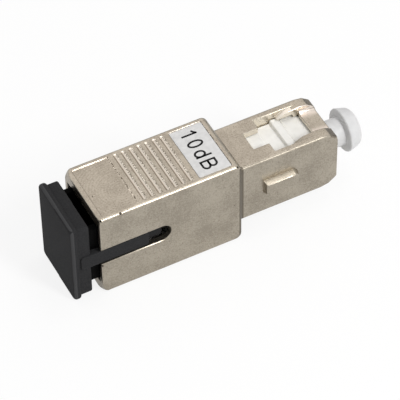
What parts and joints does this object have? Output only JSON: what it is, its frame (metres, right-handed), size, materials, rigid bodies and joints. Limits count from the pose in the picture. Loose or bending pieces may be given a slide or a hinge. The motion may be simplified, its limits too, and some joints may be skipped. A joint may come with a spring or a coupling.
{
  "type": "fibre attenuator",
  "caption": "Plug-type fixed fibre attenuator: a keyed metal plug with a sprung ferrule at one end and a matching socket at the other, with dust covers on both.",
  "frame": {"origin": "on the optical axis, in the plane of the shoulder where the nose leaves the body", "axes": "+X along the optical axis towards the plug nose, +Z the labelled side, -Y the keyed side"},
  "size_m": [0.0402, 0.0094, 0.0128],
  "materials": {
    "zinc_casting": "satin",
    "silver_label": "satin",
    "white_pbt": "satin",
    "zirconia": "gloss",
    "stainless": "satin",
    "spring_steel": "gloss",
    "silica_fibre": "gloss",
    "white_pe": "satin",
    "dark_plug": "matte"
  },
  "bodies": {
    "shell": {"housing": "zinc_casting", "label": "silver_label"},
    "core": {"plug_frame": "white_pbt", "sleeve_holder": "white_pbt", "split_sleeve": "zirconia", "stop_ring": "stainless"},
    "ferrule_unit": {"ferrule": "zirconia", "attenuating_fibre": "silica_fibre", "ferrule_collar": "stainless", "ferrule_spring": "spring_steel"},
    "cap": {"ferrule_cap": "white_pe"},
    "plug": {"dust_plug": "dark_plug"}
  },
  "joints": [
    {"name": "coupling_slide", "type": "slide", "parent": "shell", "child": "core", "axis": [1, 0, 0], "range_m": [0, 0.0016]},
    {"name": "ferrule_float", "type": "slide", "parent": "core", "child": "ferrule_unit", "axis": [-1, 0, 0], "range_m": [0, 0.0009], "stiffness_N_per_m": 1000, "deforming": ["ferrule_spring"]},
    {"name": "cap_pull", "type": "slide", "parent": "ferrule_unit", "child": "cap", "axis": [1, 0, 0], "range_m": [0, 0.009]},
    {"name": "dust_plug_pull", "type": "slide", "parent": "shell", "child": "plug", "axis": [-1, 0, 0], "range_m": [0, 0.01]}
  ]
}
